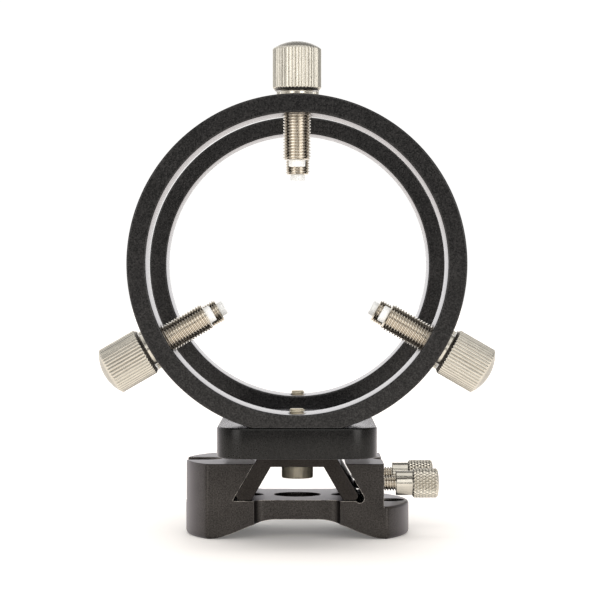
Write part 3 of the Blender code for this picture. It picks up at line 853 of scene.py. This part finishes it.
def make_clamp_screws():
    """Place the two shouldered clamp thumbscrews and their pads."""
    edge = CLAMP_KNOB_CHAMFER
    rim = CLAMP_KNOB_RADIUS - edge
    profile = [
        (0.0, SHOULDER_START),
        (SHOULDER_RADIUS, SHOULDER_START),
        (SHOULDER_RADIUS, CLAMP_KNOB_START),
        (rim, CLAMP_KNOB_START),
        (CLAMP_KNOB_RADIUS, CLAMP_KNOB_START + edge),
        (CLAMP_KNOB_RADIUS, CLAMP_KNOB_RIM - edge),
        (rim, CLAMP_KNOB_RIM),
    ]
    profile = soften(profile, EDGE) + dome(rim, CLAMP_KNOB_RIM, CLAMP_DOME_RISE, 5)[1:]
    relief = diamond_knurl(CLAMP_KNOB_RADIUS, DIAMONDS, DIAMOND_DEPTH)
    fine = refine(profile, CLAMP_KNOB_ROW)
    knob = turned("clamp_knob", fine, DIAMOND_COLUMNS, relief, DIAMOND_DEPTH)
    shade(knob, 50.0)

    depth = CLAMP_THREAD_DEPTH
    root = CLAMP_THREAD_RADIUS - depth
    profile = [
        (0.0, CLAMP_THREAD_END),
        (root, CLAMP_THREAD_END),
        (CLAMP_THREAD_RADIUS, CLAMP_THREAD_END + depth),
        (CLAMP_THREAD_RADIUS, SHOULDER_START + SHANK_OVERLAP),
        (0.0, SHOULDER_START + SHANK_OVERLAP),
    ]
    relief = thread_relief(CLAMP_THREAD_RADIUS, CLAMP_PITCH, depth)
    fine = refine(profile, CLAMP_PITCH / THREAD_ROWS)
    shank = turned("clamp_shank", fine, THREAD_COLUMNS, relief, depth)
    shade(shank, 50.0)

    nose = arc(PAD_NOSE_CENTRE, 0.0, PAD_RADIUS, 180.0, 90.0, 8)
    pad_end = CLAMP_THREAD_END - HOLE_GAP
    profile = [(radius, height) for height, radius in nose]
    profile += [(PAD_RADIUS, pad_end), (0.0, pad_end)]
    pad = turned("clamp_pad", profile, 40)
    shade(pad)

    for place in PLACES:
        joint = JOINTS[f"clamp_{place}_turn"]
        origin = Vector((0.0, joint["pos_m"][1], joint["pos_m"][2]))
        matrix = Matrix.Translation(origin) @ upright_to_axis(joint)
        head = placed_copy(knob, f"{place}_clamp_knob", matrix)
        dress(head, "screw_nickel", f"clamp_{place}", f"clamp_screw_{place}")
        stem = placed_copy(shank, f"{place}_clamp_thread", matrix)
        dress(stem, "screw_nickel", f"clamp_{place}", finish="thread_nickel")
        end = placed_copy(pad, f"{place}_clamp_pad_fine", matrix)
        dress(end, "pad_plastic", f"pad_{place}", f"clamp_pad_{place}")
    for source in (knob, shank, pad):
        bpy.data.objects.remove(source, do_unlink=True)


def make_bolt(node):
    """Make a socket cap bolt with a threaded shank, head down."""
    radius, pitch, head_height, flats = BOLTS[node]
    low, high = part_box(node)
    centre = (low + high) / 2
    head_radius = (high.x - low.x) / 2 - BOLT_HEAD_INSET
    head_top = low.z + head_height
    profile = [(0.0, low.z), (head_radius, low.z), (head_radius, head_top), (0.0, head_top)]
    head = turned(f"{node}_fine", soften(profile, BOLT_EDGE, steps=4), 72)
    hexagon = flats / math.sqrt(3.0)
    socket = turned("socket", [
        (0.0, low.z - OVERRUN),
        (hexagon, low.z - OVERRUN),
        (hexagon, low.z + head_height / 2),
        (0.0, low.z + 0.6 * head_height),
    ], 6)
    cut(head, socket)
    depth = 0.5 * pitch
    profile = [
        (0.0, head_top - HOLE_GAP),
        (radius, head_top - HOLE_GAP),
        (radius, high.z - depth),
        (radius - depth, high.z),
        (0.0, high.z),
    ]
    relief = thread_relief(radius, pitch, depth)
    shank = turned("shank", refine(profile, pitch / THREAD_ROWS), THREAD_COLUMNS, relief, depth)
    join(head, shank)
    head.location = (centre.x, centre.y, 0.0)
    shade(head, 40.0)
    dress(head, "bolt_steel", "carrier", node)


# ------------------------------------------------------------- bar, shoe, base
def make_bar():
    """Make the bar with rounded top and bottom edges and bolt wells."""
    low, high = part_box("ring_bar")
    half_a = (high.x - low.x) / 2
    half_b = (high.y - low.y) / 2

    def plan(inset):
        return rounded_rectangle(half_a - inset, half_b - inset, BAR_CORNER - inset)

    bar = rounded_prism("ring_bar_fine", plan, low.z, high.z, BAR_EDGE, BAR_EDGE)
    wells = []
    for node, (radius, _pitch, head_height, _flats) in BOLTS.items():
        bolt_low, bolt_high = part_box(node)
        hole = radius + HOLE_GAP
        if node == "shoe_bolt":
            well = hole
            well_top = low.z + LIP
            hole_top = bolt_high.z + BOLT_EDGE
        else:
            well = (bolt_high.x - bolt_low.x) / 2 + HOLE_GAP
            well_top = bolt_low.z + head_height + HOLE_GAP
            hole_top = high.z + OVERRUN
        cutter = turned("well", [
            (0.0, low.z - OVERRUN),
            (well + LIP + OVERRUN, low.z - OVERRUN),
            (well, low.z + LIP),
            (well, well_top),
            (hole, well_top),
            (hole, hole_top),
            (0.0, hole_top),
        ], WELL_COLUMNS)
        cutter.location.y = (bolt_low.y + bolt_high.y) / 2
        wells.append(cutter)
    cut(bar, *wells)
    even_normals(bar)
    dress(bar, "ring_anodised", "carrier", "ring_bar", finish="bar_anodised")


def make_shoe():
    """Make the hollow dovetail shoe with rounded edges and its bolt hole."""
    low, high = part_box("dovetail_shoe")
    toe = SHOE_TOE_RADIUS
    web_z = high.z - SHOE_WEB
    bottom_half = SHOE_TOP_HALF + (high.z - low.z) * SLOT_SLOPE
    inner_bottom_half = SHOE_INNER_TOP_HALF + (web_z - low.z) * SLOT_SLOPE
    right = [(SHOE_TOP_HALF, high.z)]
    right += arc(bottom_half - toe / SLOT_SLOPE, low.z + toe, toe, 30.0, -90.0)
    right += [(inner_bottom_half, low.z), (SHOE_INNER_TOP_HALF, web_z)]
    left = [(-a, b) for a, b in reversed(right)]
    shoe = lengthwise("dovetail_shoe_fine", right + left, high.y - low.y)
    round_edges(shoe, SHOE_EDGE)
    bolt_low, bolt_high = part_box("shoe_bolt")
    spot = (bolt_high.x - bolt_low.x) / 2 + 2 * HOLE_GAP
    hole = BOLTS["shoe_bolt"][0] + HOLE_GAP
    cut(shoe, turned("spot_face", [
        (0.0, web_z - OVERRUN),
        (spot, web_z - OVERRUN),
        (spot, web_z + SHOE_SPOT_FACE),
        (hole, web_z + SHOE_SPOT_FACE),
        (hole, high.z + OVERRUN),
        (0.0, high.z + OVERRUN),
    ], WELL_COLUMNS))
    even_normals(shoe)
    dress(shoe, "base_anodised", "carrier", "dovetail_shoe", finish="shoe_anodised")


def base_plan(half_width, half_length, inset):
    """Return the base's plan, waisted with bowed ends.

    The feet are drawn in by inset, and the waist between them stays.
    """
    bow = half_width - CREASE_X
    end_radius = (half_length ** 2 + bow ** 2) / (2 * bow)
    end_angle = math.degrees(math.asin(half_length / end_radius))
    fillet_x = WAIST_HALF_WIDTH - WAIST_FILLET
    sag = WAIST_CENTRE_DEPTH - WAIST_FILLET
    waist_radius = (fillet_x ** 2 + sag ** 2) / (2 * sag)
    waist_y = half_length - WAIST_CENTRE_DEPTH + waist_radius
    waist_angle = math.degrees(math.asin(fillet_x / waist_radius))
    quarter = arc(0.0, waist_y, waist_radius, -90.0, -90.0 + waist_angle)[:-1]
    quarter += arc(fillet_x, half_length, WAIST_FILLET, -90.0, 0.0, 12)
    quarter += arc(half_width - end_radius, 0.0, end_radius, end_angle, 0.0, 12)
    quarter = soften(quarter, CREASE_RADIUS, steps=5)
    right = quarter + [(a, -b) for a, b in reversed(quarter[:-1])]
    outline = right + [(-a, b) for a, b in reversed(right[1:-1])]
    drawn_in = []
    for index, (a, b) in enumerate(outline):
        before = Vector(outline[index - 1])
        after = Vector(outline[(index + 1) % len(outline)])
        along = (after - before).normalized() * inset
        past_waist = (abs(a) - WAIST_HALF_WIDTH) / WAIST_FILLET
        share = min(max(past_waist - 0.5, 0.0), 1.0)
        drawn_in.append((a + share * along.y, b - share * along.x))
    return drawn_in


def relief_centre(top_z):
    """Return X of the round relief's axis in the slot's right corner."""
    slope_x = SLOT_RIGHT_TOP_X + (top_z - RELIEF_Z) * SLOT_SLOPE
    return slope_x - RELIEF_RADIUS * math.hypot(1.0, SLOT_SLOPE)


def roughen_and_shade_relief(base, top_z):
    """Mark the relief's faces as a cavity, which makes them rough and paints them near black as
    shade in the groove.
    """
    mesh = base.data
    # The cutters of the holes leave a cavity attribute of their own behind.
    if "cavity" in mesh.attributes:
        mesh.attributes.remove(mesh.attributes["cavity"])
    deep = []
    for face in mesh.polygons:
        away = math.hypot(face.center.x - relief_centre(top_z), face.center.z - RELIEF_Z)
        deep.append(float(abs(face.normal.y) < 0.5 and 0.9 < away / RELIEF_RADIUS < 1.02))
    mesh.attributes.new("cavity", "FLOAT", "FACE").data.foreach_set("value", deep)


def slot_profile(top_z):
    """Return the dovetail slot's section, with a round relief in its right corner."""
    drop = (top_z - SLOT_FLOOR_Z) * SLOT_SLOPE
    rise = OVERRUN * SLOT_SLOPE
    relief_x = relief_centre(top_z)
    floor_angle = math.degrees(math.asin((RELIEF_Z - SLOT_FLOOR_Z) / RELIEF_RADIUS))
    corner = arc(relief_x, RELIEF_Z, RELIEF_RADIUS, floor_angle - 180.0, 30.0)
    return [(SLOT_LEFT_TOP_X - drop, SLOT_FLOOR_Z)] + corner + [
        (SLOT_RIGHT_TOP_X - rise, top_z + OVERRUN),
        (SLOT_LEFT_TOP_X + rise, top_z + OVERRUN),
    ]


def arch_profile():
    """Return the section of the hollow under the base, S-curved down to the feet."""
    right = []
    for share in np.linspace(0.0, 1.0, 41):
        x = ARCH_CROWN_HALF + (ARCH_FOOT_X - ARCH_CROWN_HALF) * share
        height = ARCH_CROWN_Z * 0.5 * (1 + math.cos(math.pi * share))
        right.append((x, height))
    right.append((ARCH_FOOT_X, -OVERRUN))
    return [(-a, b) for a, b in reversed(right)] + right


def stepped_hole(x, mouth_z, radius, head_radius, head_z):
    """Return a cutter for a counterbored hole whose mouth has a small chamfer."""
    cutter = turned("hole", [
        (0.0, -OVERRUN),
        (radius, -OVERRUN),
        (radius, head_z),
        (head_radius, head_z),
        (head_radius, mouth_z - LIP),
        (head_radius + LIP + OVERRUN, mouth_z + OVERRUN),
        (0.0, mouth_z + OVERRUN),
    ], WELL_COLUMNS)
    cutter.location.x = x
    return cutter


def make_base():
    """Make the clamp base: fixed left jaw, tapped right jaw, arched foot."""
    low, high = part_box("clamp_base")
    half_width = (high.x - low.x) / 2
    half_length = (high.y - low.y) / 2
    plan = functools.partial(base_plan, half_width, half_length)
    foot = rounded_prism("foot", plan, 0.0, LUG_TOP_Z, FOOT_EDGE, LUG_EDGE)
    base = rounded_prism("clamp_base_fine", plan, LUG_TOP_Z / 2, high.z, BASE_EDGE, BASE_EDGE)
    length = 2 * (half_length + OVERRUN)
    arch = lengthwise("arch", arch_profile(), length)
    slot = lengthwise("slot", slot_profile(high.z), length)
    # The right lug is open above and bites a round notch out of the jaw.
    reach = half_width + OVERRUN
    bite = math.degrees(math.acos((JAW_OUTER_X - LUG_HOLE_X) / POCKET_RADIUS))
    lug = [(JAW_OUTER_X, -reach), (reach, -reach), (reach, reach), (JAW_OUTER_X, reach)]
    lug += arc(LUG_HOLE_X, 0.0, POCKET_RADIUS, bite, 360.0 - bite, 32)
    cut(base, stack("lug", [(lug, 0.0), (lug, high.z + OVERRUN)]))
    merge(base, foot)
    cutters = [arch, slot]
    # The left pocket is a round-ended slot that runs out of the left end.
    layers = []
    for radius, height in (
        (POCKET_RADIUS, LUG_TOP_Z),
        (POCKET_RADIUS, high.z - LIP),
        (POCKET_RADIUS + LIP + OVERRUN, high.z + OVERRUN),
    ):
        pocket = arc(-LUG_HOLE_X, 0.0, radius, -90.0, 90.0, 32)
        layers.append(([(-reach, radius), (-reach, -radius)] + pocket, height))
    cutters.append(stack("pocket", layers))
    cutters.append(stepped_hole(0.0, SLOT_FLOOR_Z, *MIDDLE_HOLE))
    for side in (-1, 1):
        cutters.append(stepped_hole(side * SLOT_HOLE_X, SLOT_FLOOR_Z, *SLOT_HOLE))
        cutters.append(stepped_hole(side * LUG_HOLE_X, LUG_TOP_Z, *LUG_HOLE))
    for place in PLACES:
        joint = JOINTS[f"clamp_{place}_turn"]
        hole = CLAMP_THREAD_RADIUS + HOLE_GAP
        tapped = turned("tapped", [
            (0.0, LUG_HOLE_X / 2),
            (hole, LUG_HOLE_X / 2),
            (hole, JAW_OUTER_X - LIP),
            (hole + LIP + OVERRUN, JAW_OUTER_X + OVERRUN),
            (0.0, JAW_OUTER_X + OVERRUN),
        ], BORE_COLUMNS)
        tapped.data.transform(Z_TO_X)
        tapped.location = (0.0, joint["pos_m"][1], joint["pos_m"][2])
        cutters.append(tapped)
    cut(base, *cutters)
    even_normals(base)
    roughen_and_shade_relief(base, high.z)
    dress(base, "base_anodised", "base", "clamp_base")


# --------------------------------------------------------------------- stage
# Soft lights all round: azimuth from the camera's side towards +X, elevation,
# inner and outer half-angles in degrees, and brightness
AMBIENT = 0.26
BACKDROP = 1.05
LIGHTS = (
    ("back_wall", 180.0, 3.0, 12.0, 34.0, 1.2),
    ("left_front", -36.0, 10.0, 8.0, 21.0, 2.1),
    ("right_front", 36.0, 10.0, 8.0, 21.0, 2.7),
    ("upper_front", 0.0, 27.0, 9.0, 24.0, 1.2),
    ("left_wall", -120.0, 28.0, 18.0, 46.0, 0.75),
    ("right_wall", 125.0, 5.0, 10.0, 40.0, 0.3),
    ("overhead", 40.0, 78.0, 22.0, 48.0, 0.8),
    ("camera_side", 0.0, 0.0, 4.0, 12.0, -0.22),
)

FLOOR_SIZE = 8.0
# How far from the object the floor's painted contact shadow reaches
FLOOR_SHADE_REACH = 34.0 * MM

CAMERA_LENS_MM = 139.4
CAMERA_SENSOR_MM = 36.0
CAMERA_PLACE = (1.39 * MM, -627.25 * MM, 70.2 * MM)
CAMERA_DIRECTION = Vector((-2.5, 2323.6, -28.5))


def make_world():
    """Make pale studio surroundings: broad soft lights on a grey room."""
    world = bpy.data.worlds.new("studio")
    bpy.context.scene.world = world
    world.use_nodes = True
    tree = world.node_tree
    background = tree.nodes["Background"]
    background.inputs["Color"].default_value = (1.0, 0.99, 0.98, 1.0)
    direction = tree.nodes.new("ShaderNodeTexCoord").outputs["Generated"]
    total = None
    for name, azimuth, elevation, inner, outer, strength in LIGHTS:
        turn, lift = math.radians(azimuth), math.radians(elevation)
        dot = tree.nodes.new("ShaderNodeVectorMath")
        dot.operation = "DOT_PRODUCT"
        dot.label = name
        dot.inputs[1].default_value = (
            math.sin(turn) * math.cos(lift),
            -math.cos(turn) * math.cos(lift),
            math.sin(lift),
        )
        tree.links.new(direction, dot.inputs[0])
        lobe = tree.nodes.new("ShaderNodeMapRange")
        lobe.interpolation_type = "SMOOTHSTEP"
        lobe.inputs["From Min"].default_value = math.cos(math.radians(outer))
        lobe.inputs["From Max"].default_value = math.cos(math.radians(inner))
        lobe.inputs["To Max"].default_value = strength
        tree.links.new(dot.outputs["Value"], lobe.inputs["Value"])
        add = tree.nodes.new("ShaderNodeMath")
        add.operation = "ADD"
        tree.links.new(lobe.outputs["Result"], add.inputs[0])
        if total:
            tree.links.new(total, add.inputs[1])
        else:
            add.inputs[1].default_value = AMBIENT
        total = add.outputs[0]
    # Where the surroundings are seen directly, they are an even white.
    seen = tree.nodes.new("ShaderNodeLightPath")
    mix = tree.nodes.new("ShaderNodeMix")
    mix.data_type = "FLOAT"
    mix.inputs[3].default_value = BACKDROP
    tree.links.new(seen.outputs["Is Camera Ray"], mix.inputs[0])
    tree.links.new(total, mix.inputs[2])
    tree.links.new(mix.outputs[0], background.inputs["Strength"])


def make_floor():
    """Make the pale floor, which glows a little to stay evenly bright; ambient occlusion dims
    the glow close to the object, a painted contact shadow.
    """
    bpy.ops.mesh.primitive_plane_add(size=FLOOR_SIZE, location=(0.0, 0.0, 0.0))
    floor = bpy.context.object
    floor.name = "floor"
    paint = Nodes("pale_floor")
    tone = paint.noise(0.3, 2.0)
    pale = paint.ramp(tone, (0.3, (0.86, 0.79, 0.73)), (0.7, (0.88, 0.81, 0.75)))
    paint.give("Base Color", pale)
    paint.give("Roughness", 0.6)
    paint.give("Emission Color", (1.0, 1.0, 0.99, 1.0))
    # Ambient occlusion lowers the floor's glow near the object: a painted contact shadow.
    painted_contact_shadow = paint.add("ShaderNodeAmbientOcclusion", samples=8)
    painted_contact_shadow.inputs["Distance"].default_value = FLOOR_SHADE_REACH
    paint.give("Emission Strength", paint.spread(painted_contact_shadow.outputs["AO"], 0.12, 0.55))
    floor.data.materials.append(paint.material)


def make_camera():
    """Make the camera and set how colours are shown."""
    data = bpy.data.cameras.new("camera")
    data.lens = CAMERA_LENS_MM
    data.sensor_width = CAMERA_SENSOR_MM
    camera = bpy.data.objects.new("camera", data)
    scene = bpy.context.scene
    scene.collection.objects.link(camera)
    camera.location = CAMERA_PLACE
    camera.rotation_euler = CAMERA_DIRECTION.to_track_quat("-Z", "Y").to_euler()
    scene.camera = camera
    scene.view_settings.view_transform = "Standard"


make_world()
make_floor()
make_camera()
for place in PLACES:
    make_ring(place)
make_bar()
make_ring_screws()
make_clamp_screws()
for node in BOLTS:
    make_bolt(node)
make_shoe()
make_base()
